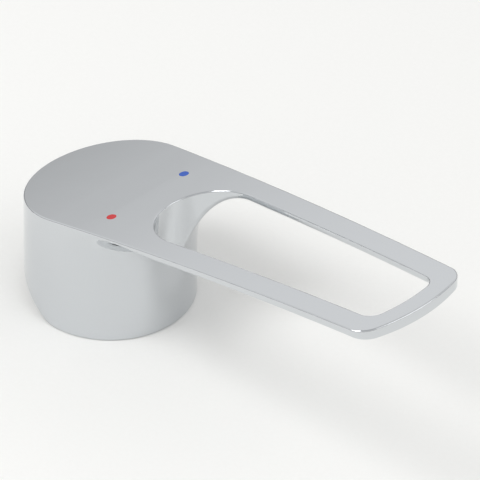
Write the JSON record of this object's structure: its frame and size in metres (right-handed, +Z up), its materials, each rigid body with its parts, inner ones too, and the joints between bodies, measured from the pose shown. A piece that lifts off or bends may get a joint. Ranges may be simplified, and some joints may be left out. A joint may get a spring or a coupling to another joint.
{
  "type": "tap handle",
  "caption": "Chrome handle of a single-lever mixer tap: a round cap with a spindle socket inside, and a long loop lever that rises gently to its tip.",
  "frame": {"origin": "on the cap's axis, in the plane of the rim that sits on the tap", "axes": "+X along the lever to its tip, +Y to the cold side, +Z up along the cap's axis"},
  "size_m": [0.1405, 0.046, 0.0608],
  "materials": {
    "chrome": "polished",
    "steel": "dark, turned",
    "grey_plastic": "smooth",
    "red_enamel": "glossy",
    "blue_enamel": "glossy"
  },
  "bodies": {
    "root": {"handle_body": "chrome", "set_screw": "steel", "screw_plug": "grey_plastic", "hot_marker": "red_enamel", "cold_marker": "blue_enamel"}
  },
  "joints": []
}
